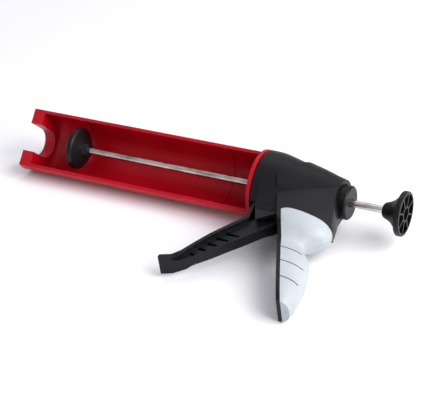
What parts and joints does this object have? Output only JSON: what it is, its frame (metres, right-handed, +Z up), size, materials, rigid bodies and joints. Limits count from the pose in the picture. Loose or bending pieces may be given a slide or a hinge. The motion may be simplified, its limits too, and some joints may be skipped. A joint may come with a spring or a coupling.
{
  "type": "caulking gun",
  "caption": "Caulking gun with an open half-barrel cradle, ribbed trigger, wrapped pistol grip and spring-held push rod, lying on its side.",
  "frame": {"origin": "centre of the bounding box, on the surface the gun lies on", "axes": "-X towards the nozzle end along the gun, -Y towards the handle's butt, +Z up from the surface"},
  "size_m": [0.3742, 0.1752, 0.0641],
  "materials": {
    "red_plastic": "satin moulded",
    "black_plastic": "fine satin grain",
    "white_grip": "smooth satin",
    "steel": "drawn and brushed",
    "zinc": "zinc plated"
  },
  "bodies": {
    "housing": {"housing_left": "black_plastic", "housing_right": "black_plastic", "grip_left": "white_grip", "grip_right": "white_grip", "front_collar": "black_plastic", "front_hub": "black_plastic", "hub_clip": "zinc", "rear_bushing": "black_plastic", "trigger_pin": "steel", "housing_screws": "zinc", "drive_spring": "steel", "lock_spring": "steel"},
    "cradle": {"cradle": "red_plastic"},
    "rod": {"push_rod": "steel", "plunger_disc": "black_plastic", "plunger_washer": "zinc", "plunger_nut": "zinc", "pull_knob": "black_plastic"},
    "trigger": {"trigger": "black_plastic", "trigger_roller": "steel"},
    "drive_plate": {"drive_plate": "zinc"},
    "release_cap": {"release_cap": "black_plastic"},
    "lock_plate": {"lock_plate": "zinc"}
  },
  "joints": [
    {"name": "cradle_turn", "type": "hinge", "parent": "housing", "child": "cradle", "pos_m": [0.05324, 0.05556, 0.032], "axis": [-0.9999, 0, -0.0122], "continuous": true},
    {"name": "rod_slide", "type": "slide", "parent": "housing", "child": "rod", "axis": [-0.9999, 0, -0.0122], "range_m": [-0.17, 0.027]},
    {"name": "trigger_pull", "type": "hinge", "parent": "housing", "child": "trigger", "pos_m": [0.08731, 0.01796, 0.02693], "axis": [-0.0121, -0.1444, 0.9895], "range_deg": [0, 34], "stiffness_Nm_per_rad": 0.6, "springref_deg": -22.92},
    {"name": "drive_plate_slide", "type": "slide", "parent": "housing", "child": "drive_plate", "axis": [-0.9999, 0, -0.0122], "range_m": [0, 0.0165], "deforming": ["drive_spring"]},
    {"name": "release_press", "type": "slide", "parent": "housing", "child": "release_cap", "axis": [-0.9999, 0, -0.0122], "range_m": [0, 0.0021], "stiffness_N_per_m": 900, "springref_m": -0.002},
    {"name": "lock_plate_tilt", "type": "hinge", "parent": "housing", "child": "lock_plate", "pos_m": [0.12046, 0.04171, 0.0308], "axis": [-0.0121, -0.1444, 0.9895], "range_deg": [0, 5.05], "deforming": ["lock_spring"]}
  ],
  "couplings": [
    {"joint": "drive_plate_slide", "follows": "trigger_pull", "m_per_rad": 0.027},
    {"joint": "lock_plate_tilt", "follows": "release_press", "rad_per_m": 41.556}
  ]
}
